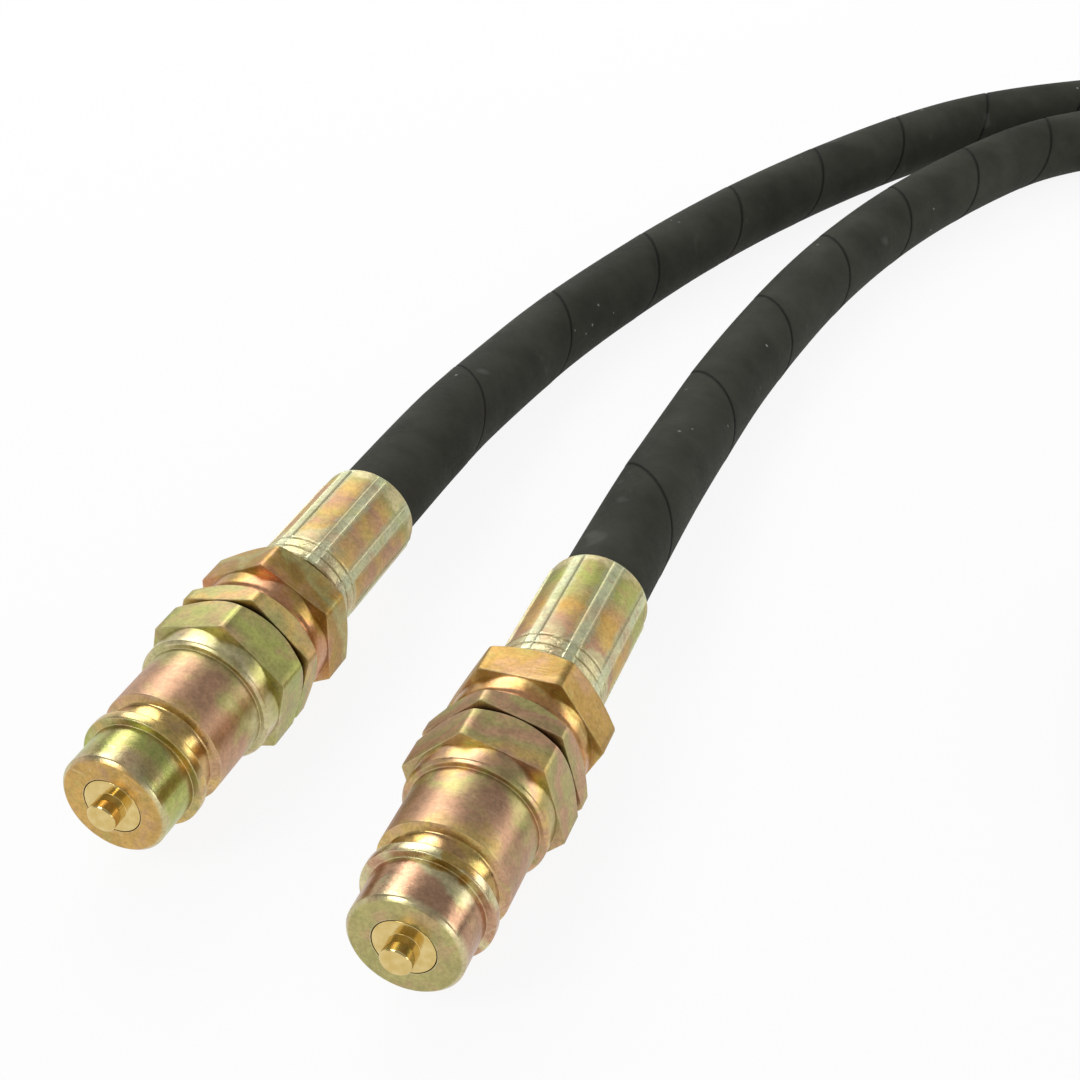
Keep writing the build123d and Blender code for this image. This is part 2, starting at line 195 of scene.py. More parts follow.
def hose_line():
    """Points along the hose's centreline, from inside ferrule A to inside ferrule B."""
    start, finish = ENDS["a"], ENDS["b"]
    points = [along(start, HOSE_START), along(start, FERRULE_END + STRAIGHT_EXIT)]
    points += [Vector(p) * MM for p in ROUTE]
    points += [along(finish, FERRULE_END + STRAIGHT_EXIT), along(finish, HOSE_START)]
    curve = bpy.data.curves.new("route", "CURVE")
    curve.dimensions = "3D"
    curve.resolution_u = 24
    spline = curve.splines.new("NURBS")
    spline.points.add(len(points) - 1)
    for knot, point in zip(spline.points, points):
        knot.co = (*point, 1)
    spline.order_u = 3
    spline.use_endpoint_u = True
    route = bpy.data.objects.new("route", curve)
    scene.collection.objects.link(route)
    bpy.context.view_layer.update()
    evaluated = route.evaluated_get(bpy.context.evaluated_depsgraph_get())
    mesh = bpy.data.meshes.new_from_object(evaluated)
    line = [v.co.copy() for v in mesh.vertices]
    bpy.data.objects.remove(route)
    bpy.data.meshes.remove(mesh)
    return line


class Line:
    """A centreline with its length, and a frame that turns as little as it can along it."""

    def __init__(self, points):
        self.points = points
        self.distance = [0.0]
        for a, b in zip(points, points[1:]):
            self.distance.append(self.distance[-1] + (b - a).length)
        self.length = self.distance[-1]
        self.ups = []
        up = Vector((0, 0, 1))
        for i in range(len(points)):
            ahead = self.direction(i)
            up = (up - ahead * up.dot(ahead)).normalized()
            self.ups.append(up)

    def direction(self, i):
        """Which way the line goes at its point i."""
        before = self.points[max(i - 1, 0)]
        after = self.points[min(i + 1, len(self.points) - 1)]
        return (after - before).normalized()

    def frame_at(self, distance):
        """Centre, sideways and up at a distance along the line."""
        distance = min(max(distance, 0.0), self.length)
        high = min(bisect.bisect_right(self.distance, distance), len(self.points) - 1)
        low = high - 1
        share = (distance - self.distance[low]) / (self.distance[high] - self.distance[low])
        centre = self.points[low].lerp(self.points[high], share)
        ahead = self.direction(low).lerp(self.direction(high), share).normalized()
        up = self.ups[low].lerp(self.ups[high], share)
        up = (up - ahead * up.dot(ahead)).normalized()
        return centre, ahead.cross(up), up


line = Line(hose_line())

# The cover keeps the crease of the curing tape, which was wound with this pitch, in mm, and
# more loosely towards both ends
WRAP_PITCH = 35.4
END_STRETCH = 50.0
END_REACH = 75.0
# The share of a turn that the crease has already made at the hose's first end
WRAP_PHASE = 0.676
# How finely the cover is divided, round it and from one turn of the crease to the next
WRAP_COLUMNS = 48
WRAP_ROWS_BETWEEN = 8
# The material's painted shade along the crease fades out within this distance of it, in mm
CREASE_REACH = 3.0
# How far before each end the cover is looked through for what is cut off there, in mm
CUT_REACH = 25.0
# Height of the cover at distances from the crease, in mm
WRAP_SHAPE = [
    (-3.0, 0.0),
    (-0.6, 0.0),
    (-0.24, -0.03),
    (0.0, -0.26),
    (0.24, -0.02),
    (0.65, 0.06),
    (2.0, 0.05),
    (5.0, 0.02),
]


class Wrap:
    """Where the crease is after any number of turns round the hose, in mm."""

    def __init__(self, length):
        self.length = length
        self.turns = [0.0]
        for i in range(int(length)):
            at = i + 0.5
            near_ends = math.exp(-at / END_REACH) + math.exp(-(length - at) / END_REACH)
            self.turns.append(self.turns[-1] + 1 / (WRAP_PITCH + END_STRETCH * near_ends))

    def distance(self, turn):
        """Where the crease is after this many turns, also before and past the hose's ends."""
        turn += WRAP_PHASE
        if turn <= 0:
            return turn * (WRAP_PITCH + END_STRETCH)
        if turn >= self.turns[-1]:
            return self.length + (turn - self.turns[-1]) * (WRAP_PITCH + END_STRETCH)
        i = bisect.bisect_right(self.turns, turn) - 1
        return i + (turn - self.turns[i]) / (self.turns[i + 1] - self.turns[i])


def wrap_rows(crease, after):
    """Distances along the hose, heights and distances from the crease, up to the next turn."""
    rows = [(crease + offset, lift) for offset, lift in WRAP_SHAPE]
    first = crease + WRAP_SHAPE[-1][0]
    last = after + WRAP_SHAPE[0][0]
    for k in range(1, WRAP_ROWS_BETWEEN):
        rows.append((first + (last - first) * k / WRAP_ROWS_BETWEEN, 0.0))
    return [(at, lift, min(abs(at - crease), abs(after - at), CREASE_REACH)) for at, lift in rows]


def cut_square(work, near, centre, outward):
    """Take off what the faces near an end have beyond a plane."""
    verts = list(dict.fromkeys(vert for face in near for vert in face.verts))
    edges = list(dict.fromkeys(edge for face in near for edge in face.edges))
    bmesh.ops.bisect_plane(
        work,
        geom=verts + edges + near,
        dist=1e-7,
        plane_co=centre,
        plane_no=outward,
        clear_outer=True,
    )


def build_hose():
    """The hose's cover, with the crease that the curing tape leaves winding round it.

    The crease runs past both ends, where the cover is then cut square. For the material, each
    vertex keeps its distances along the hose, round it and from the crease, in metres.
    """
    last = line.length / MM
    wrap = Wrap(last)
    per_turn = len(WRAP_SHAPE) + WRAP_ROWS_BETWEEN - 1
    mesh = bpy.data.meshes.new("hose_cover")
    work = bmesh.new()
    place = work.verts.layers.float_vector.new("hose_place")
    grid = []
    for turn in range(-2, int(wrap.turns[-1]) + 2):
        rings = [[] for row in range(per_turn)]
        for column in range(WRAP_COLUMNS):
            share = column / WRAP_COLUMNS
            angle = share * 2 * math.pi
            rows = wrap_rows(wrap.distance(turn + share), wrap.distance(turn + 1 + share))
            for ring, (distance, lift, away) in zip(rings, rows):
                at = min(max(distance, 0.0), last)
                centre, side, up = line.frame_at(at * MM)
                centre = centre + up.cross(side) * (distance - at) * MM
                out = side * math.cos(angle) + up * math.sin(angle)
                vert = work.verts.new(centre + out * (HOSE_RADIUS + lift) * MM)
                vert[place] = (distance * MM, angle * HOSE_RADIUS * MM, away * MM)
                ring.append(vert)
        grid += rings
    for i in range(len(grid) - 1):
        for column in range(WRAP_COLUMNS - 1):
            quad = (grid[i][column], grid[i][column + 1], grid[i + 1][column + 1], grid[i + 1][column])
            work.faces.new(quad)
        if i + 1 + per_turn < len(grid):
            low, high = i + per_turn, i + 1 + per_turn
            end = WRAP_COLUMNS - 1
            work.faces.new((grid[i][end], grid[low][0], grid[high][0], grid[i + 1][end]))
    for end, way in ((0.0, -1), (line.length, 1)):
        centre, side, up = line.frame_at(end)
        near = [
            face
            for face in work.faces
            if all((vert[place].x - end) * way > -CUT_REACH * MM for vert in face.verts)
        ]
        cut_square(work, near, centre, up.cross(side) * way)
    rim = [edge for edge in work.edges if edge.is_boundary]
    bmesh.ops.holes_fill(work, edges=rim, sides=0)
    bmesh.ops.recalc_face_normals(work, faces=work.faces)
    work.to_mesh(mesh)
    work.free()
    mesh.shade_smooth()
    hose = bpy.data.objects.new("hose_cover", mesh)
    scene.collection.objects.link(hose)
    return hose


hose = build_hose()
PATH_STEPS = 600
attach(hose, "assembly")
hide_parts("hose")
[line.frame_at(line.length * i / PATH_STEPS)[0] for i in range(PATH_STEPS + 1)]

# ---------------------------------------------------------------- turned pieces
# A rounded corner has this many steps and takes at most this share of the runs beside it
CORNER_STEPS = 3
RUN_SHARE = 0.45
SHARP_EDGE = 38
# Angles in degrees: over one side of a hexagon from its corner, and round a plain piece
HEX_COLUMNS = [-1.2, -0.5, 0.5, 1.2, 5, 10, 15, 20, 25, 30, 35, 40, 45, 50, 55]
ROUND_COLUMNS = [i * 3.75 for i in range(96)]


def hex_columns(turn):
    """Angles round the axis for a hexagon, close together at its corners."""
    return [turn + 60 * side + step for side in range(6) for step in HEX_COLUMNS]


def hex_radius(angle, turn):
    """The radius of the spanner hexagon at an angle, with its corners just rounded."""
    from_flat = (angle - turn) % 60 - 30
    return min(FLAT_RADIUS / math.cos(math.radians(from_flat)), CORNER_RADIUS)


def rounded(outline):
    """The closed outline's points, with a short curve in place of each corner that has a size."""
    made = []
    count = len(outline)
    for i, (r, s, fillet) in enumerate(outline):
        here = Vector((r, s))
        if not fillet:
            made.append(here)
            continue
        before = Vector(outline[i - 1][:2]) - here
        after = Vector(outline[(i + 1) % count][:2]) - here
        reach = min(fillet, before.length * RUN_SHARE, after.length * RUN_SHARE)
        start = here + before.normalized() * reach
        finish = here + after.normalized() * reach
        for step in range(CORNER_STEPS + 1):
            share = step / CORNER_STEPS
            a = start.lerp(here, share)
            b = here.lerp(finish, share)
            made.append(a.lerp(b, share))
    return made


def turned(name, end_name, columns, outline_at):
    """A closed piece of revolution whose outline may change with the angle round the axis.

    An outline has a radius, a station and the size of the rounding at each corner, in mm.
    """
    place = place_of(ENDS[end_name])
    mesh = bpy.data.meshes.new(name)
    work = bmesh.new()
    rings = []
    for angle in columns:
        turn = math.radians(angle)
        out = Vector((math.cos(turn), 0, math.sin(turn)))
        ring = []
        for r, s in rounded(outline_at(angle)):
            ring.append(work.verts.new(place @ ((out * r + Vector((0, s, 0))) * MM)))
        rings.append(ring)
    for a, b in zip(rings, rings[1:] + rings[:1]):
        for i in range(len(a)):
            work.faces.new((a[i - 1], a[i], b[i], b[i - 1]))
    bmesh.ops.remove_doubles(work, verts=work.verts, dist=2e-7)
    bmesh.ops.dissolve_degenerate(work, edges=work.edges, dist=1e-7)
    bmesh.ops.recalc_face_normals(work, faces=work.faces)
    work.to_mesh(mesh)
    work.free()
    mesh.shade_smooth()
    mesh.set_sharp_from_angle(angle=math.radians(SHARP_EDGE))
    piece = bpy.data.objects.new(f"{name}_{end_name}_look", mesh)
    scene.collection.objects.link(piece)
    return piece


def groove_points():
    """The ball groove: a cylindrical floor between two sloping walls."""
    return [
        (FLANGE_RADIUS, FLANGE_END, 0.3),
        (GROOVE_RADIUS, FLANGE_END + GROOVE_SLOPE, 0.35),
        (GROOVE_RADIUS, GROOVE_END - GROOVE_SLOPE, 0.35),
        (FLANGE_RADIUS, GROOVE_END, 0.1),
    ]


def tip_outline(turn):
    """Nose, flange, groove, sleeve length, collar and hexagon, and the bores inside."""

    def at(angle):
        flat = hex_radius(angle, turn)
        chamfer = TIP_END - (flat - CHAMFER_ROOT)
        return [
            (SEAT_RADIUS, 0, 0.08),
            (NOSE_RADIUS - 0.75, 0, 0.12),
            (NOSE_RADIUS, 0.75, 0.2),
            (NOSE_RADIUS, NOSE_END, 0.15),
            (FLANGE_RADIUS, NOSE_END, 0.3),
            *groove_points(),
            (FLANGE_RADIUS, COLLAR_START, 0.15),
            (COLLAR_RADIUS - 0.55, COLLAR_START, 0.15),
            (COLLAR_RADIUS, COLLAR_START + 0.55, 0.15),
            (COLLAR_RADIUS, TIP_HEX_START, 0),
            (flat, TIP_HEX_START, 0.18),
            (flat, chamfer, 0.12),
            (CHAMFER_ROOT, TIP_END, 0.1),
            (BODY_RING_SEAT, TIP_END, 0),
            (BODY_RING_SEAT, TIP_END - 1.4, 0),
            (TIP_THREAD_RADIUS, TIP_END - 1.4, 0),
            (TIP_THREAD_RADIUS, 27.0, 0),
            (CHAMBER_RADIUS, 27.0, 0),
            (CHAMBER_RADIUS, 3.5, 0),
            (SEAT_RADIUS, 1.0, 0.05),
        ]

    return at


def adapter_outline(turn):
    """Spigot, hexagon and threaded end with its cone."""

    def at(angle):
        flat = hex_radius(angle, turn)
        chamfer = ADAPTER_HEX_END - (flat - CHAMFER_ROOT)
        return [
            (ADAPTER_BORE, SPIGOT_START, 0),
            (SPIGOT_RADIUS, SPIGOT_START, 0.1),
            (SPIGOT_RADIUS, ADAPTER_HEX_START, 0),
            (ADAPTER_FACE_RADIUS, ADAPTER_HEX_START, 0),
            (flat, ADAPTER_HEX_START, 0.18),
            (flat, chamfer, 0.12),
            (CHAMFER_ROOT, ADAPTER_HEX_END, 0.1),
            (THREAD_RADIUS, ADAPTER_HEX_END, 0),
            (THREAD_RADIUS, ADAPTER_END - 0.65, 0),
            (THREAD_RADIUS - 0.65, ADAPTER_END, 0),
            (CONE_MOUTH_RADIUS, ADAPTER_END, 0),
            (CONE_END_RADIUS, ADAPTER_END - CONE_DEPTH, 0),
            (ADAPTER_BORE, ADAPTER_END - CONE_DEPTH, 0),
        ]

    return at


def nut_outline(turn):
    """Round collar and hexagon, whose corners slope away at its hose end."""
    slope = (NUT_END - NUT_RIDGE_END) / (SHARP_CORNER_RADIUS - NUT_END_RADIUS)

    def at(angle):
        flat = hex_radius(angle, turn)
        return [
            (NUT_THREAD_RADIUS, NUT_START, 0),
            (COLLAR_RADIUS - 1.0, NUT_START, 0.2),
            (COLLAR_RADIUS, NUT_START + 1.0, 0.6),
            (COLLAR_RADIUS, NUT_HEX_START, 0),
            (flat, NUT_HEX_START, 0.2),
            (flat, NUT_END - (flat - NUT_END_RADIUS) * slope, 0.15),
            (NUT_END_RADIUS, NUT_END, 0.2),
            (NUT_BORE, NUT_END, 0),
            (NUT_BORE, NUT_END - 0.3, 0),
            (NUT_THREAD_RADIUS, NUT_END - 3.6, 0),
        ]

    return at


# Eight jaws press the ferrule and leave a ridge between each two, at this step in degrees
JAWS = 8
JAW_STEP = 45
# Angles of the columns over a pressed face, from the ridge beside it
FACE_COLUMNS = [12, 17, 22.5, 28, 33]
RIDGE_RADIUS = 10.7
# A ridge between two jaws, as (half width, height) in mm: a hollow top between two raised lips
RIDGE_SHAPE = [(0.45, 0.2), (0.75, 0.24), (0.93, 0.32), (1.08, 0.08), (1.25, -0.05), (1.55, 0.0)]
# The bands at the nut end, as (start, end, rounding) in mm, with a fine groove between each two
BANDS = [(0.4, 2.1, 0.12), (2.6, 4.7, 0.12), (5.2, 5.9, 0.1)]
BAND_SLOPE = 0.1
BODY_START = 6.2


def ferrule_columns(jaws):
    """Angles round the ferrule: close together at each ridge, and evenly over each pressed face."""
    halves = [math.degrees(width / RIDGE_RADIUS) for width, height in RIDGE_SHAPE]
    ridge = [-width for width in reversed(halves)] + halves
    return [jaws + JAW_STEP * k + step for k in range(JAWS) for step in ridge + FACE_COLUMNS]


def ridge_height(width):
    """The height of a ridge beside its middle, in mm."""
    if width <= RIDGE_SHAPE[0][0]:
        return RIDGE_SHAPE[0][1]
    for (near, high), (far, low) in zip(RIDGE_SHAPE, RIDGE_SHAPE[1:]):
        if width <= far:
            return high + (low - high) * (width - near) / (far - near)
    return 0.0


def band_points(band, dip):
    """The bands at the ferrule's nut end, and the fine grooves between them."""
    points = []
    for k, (first, last, rounding) in enumerate(BANDS):
        if k:
            before = BANDS[k - 1][1]
            points.append((dip, FERRULE_START + before + BAND_SLOPE, 0.05))
            points.append((dip, FERRULE_START + first - BAND_SLOPE, 0.05))
        points.append((band, FERRULE_START + first, rounding))
        points.append((band, FERRULE_START + last, rounding))
    return points


def ferrule_outline(jaws):
    """End wall, bands and pressed body, whose ridges fade out before the hose end."""

    def at(angle):
        beside = abs((angle - jaws + JAW_STEP / 2) % JAW_STEP - JAW_STEP / 2)
        ridge = ridge_height(math.radians(beside) * RIDGE_RADIUS)
        body = FERRULE_RADIUS + ridge
        band = BAND_RADIUS + 0.4 * ridge
        dip = DIP_RADIUS + 0.8 * ridge
        return [
            (FERRULE_WALL_BORE, FERRULE_START, 0),
            (band - 0.45, FERRULE_START, 0.1),
            *band_points(band, dip),
            (body, FERRULE_START + BODY_START, 0.1),
            (body, FERRULE_END - 2.0, 0.3),
            (FERRULE_RADIUS, FERRULE_END - 0.9, 0.3),
            (FERRULE_RADIUS - 0.8, FERRULE_END, 0.35),
            (FERRULE_BORE, FERRULE_END, 0),
            (FERRULE_BORE, FERRULE_WALL_END, 0),
            (FERRULE_WALL_BORE, FERRULE_WALL_END, 0),
        ]

    return at


def poppet_outline(angle):
    """Pin, face, seal groove, head, spring spigot and stem, the same at every angle."""
    return [
        (0, -PIN_LENGTH, 0),
        (PIN_RADIUS - 0.25, -PIN_LENGTH, 0.08),
        (PIN_RADIUS, 0.25 - PIN_LENGTH, 0.08),
        (PIN_RADIUS, 0, 0.1),
        (POPPET_RADIUS, 0, 0.12),
        (POPPET_RADIUS, 1.0, 0.05),
        (POPPET_CONE_RADIUS, 1.6, 0),
        (POPPET_CONE_RADIUS, POPPET_HEAD_FRONT, 0),
        (POPPET_HEAD_RADIUS, POPPET_HEAD_FRONT, 0),
        (POPPET_HEAD_RADIUS, POPPET_HEAD_BACK, 0.1),
        (POPPET_SPIGOT_RADIUS, POPPET_HEAD_BACK, 0),
        (POPPET_SPIGOT_RADIUS, POPPET_SPIGOT_END, 0.1),
        (STEM_RADIUS, POPPET_SPIGOT_END, 0),
        (STEM_RADIUS, STEM_END, 0.2),
        (0, STEM_END, 0),
    ]


def make_end(end_name):
    """The turned pieces of one coupling, each in place of its CAD node, with node and slot."""
    end = ENDS[end_name]
    turn = end["tip_hex"]
    tip = turned("tip_body", end_name, hex_columns(turn), tip_outline(turn))
    turn = end["adapter_hex"]
    adapter = turned("adapter", end_name, hex_columns(turn), adapter_outline(turn))
    turn = end["nut_hex"]
    nut = turned("swivel_nut", end_name, hex_columns(turn), nut_outline(turn))
    turn = end["jaws"]
    ferrule = turned("ferrule", end_name, ferrule_columns(turn), ferrule_outline(turn))
    poppet = turned("poppet", end_name, ROUND_COLUMNS, poppet_outline)
    finishes = {
        tip: ("tip_body", "plated_steel"),
        adapter: ("adapter", "plated_steel"),
        nut: ("swivel_nut", "nut_steel"),
        ferrule: ("ferrule", "ferrule_steel"),
        poppet: ("poppet", "poppet_brass"),
    }
    for piece, (node, slot) in finishes.items():
        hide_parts(f"{node}_{end_name}")
        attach(piece, f"valve_{end_name}" if node == "poppet" else "assembly")
    return finishes


SPRING_STEPS = 24
SPRING_SIDES = 10
SPRING_SHARP_EDGE = 50
# From an end turn to the one beside it, which it all but touches, in wire radii
END_TURN_PITCH = 2.1


def spring_turns():
    """Stations and angles along the spring's wire, closed for one turn at each end."""
    first = POPPET_HEAD_BACK + STEM_GAP + SPRING["wire"]
    last = GUIDE_FRONT - STEM_GAP - SPRING["wire"]
    closed = SPRING["wire"] * END_TURN_PITCH
    turns = SPRING["turns"] + 2
    pitch = (last - first - 2 * closed) / SPRING["turns"]
    for i in range(turns * SPRING_STEPS + 1):
        turn = i / SPRING_STEPS
        near = min(turn, 1) * closed + max(turn - turns + 1, 0) * closed
        yield first + near + pitch * min(max(turn - 1, 0), SPRING["turns"]), turn * 2 * math.pi


def make_spring(end_name):
    """The poppet's return spring, at rest between the poppet's head and the guide."""
    end = ENDS[end_name]
    mesh = bpy.data.meshes.new("poppet_spring")
    work = bmesh.new()
    rings = []
    for station, turn in spring_turns():
        out = Vector((math.cos(turn), 0, math.sin(turn)))
        ring = []
        for side in range(SPRING_SIDES):
            angle = 2 * math.pi * side / SPRING_SIDES
            radius = SPRING["radius"] + SPRING["wire"] * math.cos(angle)
            point = out * radius + Vector((0, station + SPRING["wire"] * math.sin(angle), 0))
            ring.append(work.verts.new(place_of(end) @ (point * MM)))
        rings.append(ring)
    for a, b in zip(rings, rings[1:]):
        for i in range(SPRING_SIDES):
            work.faces.new((a[i - 1], a[i], b[i], b[i - 1]))
    work.faces.new(rings[0])
    work.faces.new(rings[-1])
    bmesh.ops.recalc_face_normals(work, faces=work.faces)
    work.to_mesh(mesh)
    work.free()
    mesh.shade_smooth()
    mesh.set_sharp_from_angle(angle=math.radians(SPRING_SHARP_EDGE))
    spring = bpy.data.objects.new(f"poppet_spring_{end_name}_look", mesh)
    scene.collection.objects.link(spring)
    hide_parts(f"poppet_spring_{end_name}")
    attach(spring, "assembly")
    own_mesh(spring)
    return spring


made = {name: make_end(name) for name in ENDS}
springs = {name: make_spring(name) for name in ENDS}


# ---------------------------------------------------------------- materials
def linear(*srgb):
    """A colour given as 0 to 255 sRGB, in linear light."""
    shares = [c / 255 for c in srgb]
    return (*[c / 12.92 if c <= 0.04045 else ((c + 0.055) / 1.055) ** 2.4 for c in shares], 1)


GREEN = linear(184, 188, 108)
OLIVE = linear(188, 178, 118)
PALE = linear(220, 208, 162)
GOLD = linear(216, 184, 114)
AMBER = linear(214, 174, 100)
PINK = linear(202, 160, 128)
ROSE = linear(190, 150, 120)
ORANGE = linear(208, 158, 98)
COPPER = linear(204, 146, 102)
BRONZE = linear(190, 154, 86)
UMBER = linear(180, 144, 80)

# Plate on the ferrule's ridges; plate rubbed thin at edges, painted pale there partly as an edge
# highlight; and painted shade in corners
PRESSED = linear(224, 228, 190)
WORN_AND_EDGE_HIGHLIGHT = linear(232, 222, 186)
PAINTED_CORNER_SHADE = linear(124, 96, 62)

RUBBER = linear(45, 45, 38)
DUSTY_RUBBER = linear(67, 67, 59)
PAINTED_CREASE_SHADE = linear(16, 15, 13)
SPECK = linear(176, 176, 170)
SMUDGE = linear(120, 120, 116)
DARK_BRASS = linear(208, 180, 110)
PALE_BRASS = linear(222, 198, 136)
WHITE = (1, 1, 1, 1)

# Tints of the zinc's film by station in mm, as they run along each coupling. The pale stop at 0.5 mm,
# on the rim of the tip's face, is partly a painted highlight.
TIP_FILM = {
    "a": [(0, OLIVE), (0.5, PALE), (2, ROSE), (8, PINK), (9.5, PALE), (11, PALE), (12, BRONZE),
          (15, GOLD), (18, PINK), (24, ROSE), (28, OLIVE), (30, PINK), (32, GOLD), (35, OLIVE),
          (39, PINK), (42, OLIVE), (46, PINK), (48, OLIVE)],
    "b": [(0, AMBER), (0.5, PALE), (2, GREEN), (8, GREEN), (10, OLIVE), (12, GOLD), (15, GOLD),
          (18, PINK), (23, PINK), (27, OLIVE), (31, PALE), (35, OLIVE), (41, GREEN), (43, OLIVE),
          (46, GOLD), (48, OLIVE)],
}
NUT_FILM = {
    "a": [(48, COPPER), (51, ORANGE), (53, GOLD), (54, UMBER), (58, BRONZE), (62, UMBER)],
    "b": [(48, COPPER), (52, COPPER), (53, ORANGE), (54, BRONZE), (58, UMBER), (60, OLIVE),
          (62, BRONZE)],
}
# The pale stop at 96 mm, on the ferrule's rounded hose end, is partly a painted highlight
FERRULE_FILM = {
    "a": [(64, PALE), (70, PALE), (72, PINK), (76, GOLD), (81, AMBER), (87, OLIVE), (91, GREEN),
          (94, OLIVE), (96, PALE)],
    "b": [(64, PALE), (70, PALE), (72, GOLD), (76, PINK), (81, GOLD), (86, PINK), (90, GOLD),
          (94, OLIVE), (96, PALE)],
}

# Roughness by station in mm: turned faces are smoother than the flats and the pressed ferrule
TIP_FINISH = [(0, 0.34), (0.5, 0.2), (8, 0.24), (16, 0.18), (16.3, 0.38), (29.6, 0.34), (30, 0.26),
              (34, 0.28), (34.4, 0.42), (48, 0.42)]
NUT_FINISH = [(48, 0.26), (53, 0.28), (53.4, 0.42), (62, 0.42)]
FERRULE_FINISH = [(64, 0.4), (70, 0.42), (71, 0.54), (96, 0.54)]


class Nodes:
    """A material's node tree, with one call for each node."""

    def __init__(self, name):
        self.material = bpy.data.materials.new(name)
        self.material.use_nodes = True
        self.tree = self.material.node_tree
        self.shader = self.tree.nodes["Principled BSDF"]

    def add(self, kind, settings=None, **inputs):
        """A node, with its settings and with a value or a link for each named input."""
        node = self.tree.nodes.new("ShaderNode" + kind)
        for key, value in (settings or {}).items():
            setattr(node, key, value)
        for key, value in inputs.items():
            self.feed(node, key.replace("_", " "), value)
        return node

    def feed(self, node, key, value):
        socket = node.inputs[int(key)] if key.isdigit() else node.inputs[key]
        if isinstance(value, bpy.types.NodeSocket):
            self.tree.links.new(value, socket)
        else:
            socket.default_value = value

    def math(self, operation, *values):
        node = self.add("Math", {"operation": operation})
        for i, value in enumerate(values):
            self.feed(node, str(i), value)
        return node.outputs[0]

    def vector(self, operation, a, b):
        node = self.add("VectorMath", {"operation": operation})
        self.feed(node, "0", a)
        self.feed(node, "1", b)
        return node.outputs["Value" if operation == "DOT_PRODUCT" else "Vector"]

    def fade(self, value, near, far, strength):
        """The strength up to near, which falls to 0 at far."""
        node = self.add("MapRange", Value=value)
        for key, number in (("From Min", near), ("From Max", far), ("To Min", strength), ("To Max", 0)):
            self.feed(node, key, number)
        return node.outputs[0]

    def ramp(self, value, *stops):
        """Greys or colours between stops, each given as (place, value)."""
        node = self.add("ValToRGB", Fac=value)
        ramp = node.color_ramp
        while len(ramp.elements) < len(stops):
            ramp.elements.new(0.5)
        for element, (place, colour) in zip(ramp.elements, stops):
            element.position = place
            element.color = colour if isinstance(colour, tuple) else (colour, colour, colour, 1)
        return node.outputs["Color"]

    def mix(self, share, a, b, blend="MIX"):
        node = self.add("Mix", {"data_type": "RGBA", "blend_type": blend})
        self.feed(node, "0", share)
        self.feed(node, "6", a)
        self.feed(node, "7", b)
        return node.outputs[2]

    def noise(self, vector, scale, detail=3.0, roughness=0.5, distortion=0.0, **settings):
        node = self.add("TexNoise", settings, Scale=scale, Detail=detail, Distortion=distortion)
        node.inputs["Roughness"].default_value = roughness
        self.feed(node, "W" if settings.get("noise_dimensions") == "1D" else "Vector", vector)
        return node.outputs[0]

    def bump(self, height, distance, strength=1.0, under=None):
        node = self.add("Bump", Height=height, Distance=distance, Strength=strength)
        if under:
            self.feed(node, "Normal", under)
        return node.outputs[0]


def coupling_place(nodes, end):
    """Object coordinates turned into a coupling's own frame."""
    coordinates = nodes.add("TexCoord").outputs["Object"]
    back = place_of(end).inverted()
    mapping = nodes.add("Mapping", Vector=coordinates)
    mapping.inputs["Location"].default_value = back.translation
    mapping.inputs["Rotation"].default_value = back.to_euler()
    return mapping.outputs[0]


# Ramps by station run over this length, in metres
FILM_SPAN = 0.1
# How far in from an edge the film is rubbed thin and painted pale, partly as an edge highlight, and how
# far the painted corner shade reaches out of a corner, in metres
EDGE_WIDTH = 0.0004
CORNER_REACH = 0.004


def by_station(nodes, station, values):
    """A ramp over the station whose stops are given in mm."""
    return nodes.ramp(station, *[(at * MM / FILM_SPAN, value) for at, value in values])


def edge_wear(nodes, breakup):
    """1 along sharp edges, where the film has rubbed thin and where a pale painted edge highlight goes,
    and 0 over the faces.
    """
    rounded_off = nodes.add("Bevel", {"samples": 4}, Radius=EDGE_WIDTH).outputs[0]
    meet = nodes.vector("DOT_PRODUCT", rounded_off, nodes.add("NewGeometry").outputs["Normal"])
    edge = nodes.ramp(meet, (0.86, 1.0), (0.985, 0.0))
    return nodes.math("MULTIPLY", edge, nodes.ramp(breakup, (0.3, 0.35), (0.6, 1.0)))


def scratches(nodes, place, seed):
    """Thin rubbed lines that run nearly round the axis, in a few patches."""
    stretched = nodes.vector("MULTIPLY", place, (260.0, 1900.0, 420.0))
    lines = nodes.noise(stretched, 1.0, detail=2.0, roughness=0.5, distortion=1.5)
    lines = nodes.ramp(lines, (0.62, 0.0), (0.66, 1.0))
    patches = nodes.noise(place, 90.0 + 30 * seed, detail=1.0)
    return nodes.math("MULTIPLY", lines, nodes.ramp(patches, (0.5, 0.0), (0.6, 1.0)))


def beside_ridges(nodes, place, jaws):
    """The distance round the ferrule from the nearest ridge, in mm."""
    parts = nodes.add("SeparateXYZ", Vector=place)
    angle = nodes.math("ARCTAN2", parts.outputs["Z"], parts.outputs["X"])
    step = math.radians(JAW_STEP)
    angle = nodes.math("SUBTRACT", angle, math.radians(jaws) - step / 2 - 4 * math.pi)
    angle = nodes.math("SUBTRACT", nodes.math("MODULO", angle, step), step / 2)
    return nodes.math("MULTIPLY", nodes.math("ABSOLUTE", angle, 0.0), RIDGE_RADIUS)


def paler_ridges(nodes, colour, place, cloud, jaws):
    """The colour, paler along the ridges that the jaws have left."""
    beside = beside_ridges(nodes, place, jaws)
    beside = nodes.math("ADD", beside, nodes.math("MULTIPLY", cloud, 2.4))
    return nodes.mix(nodes.fade(beside, 1.9, 3.5, 0.85), colour, PRESSED)


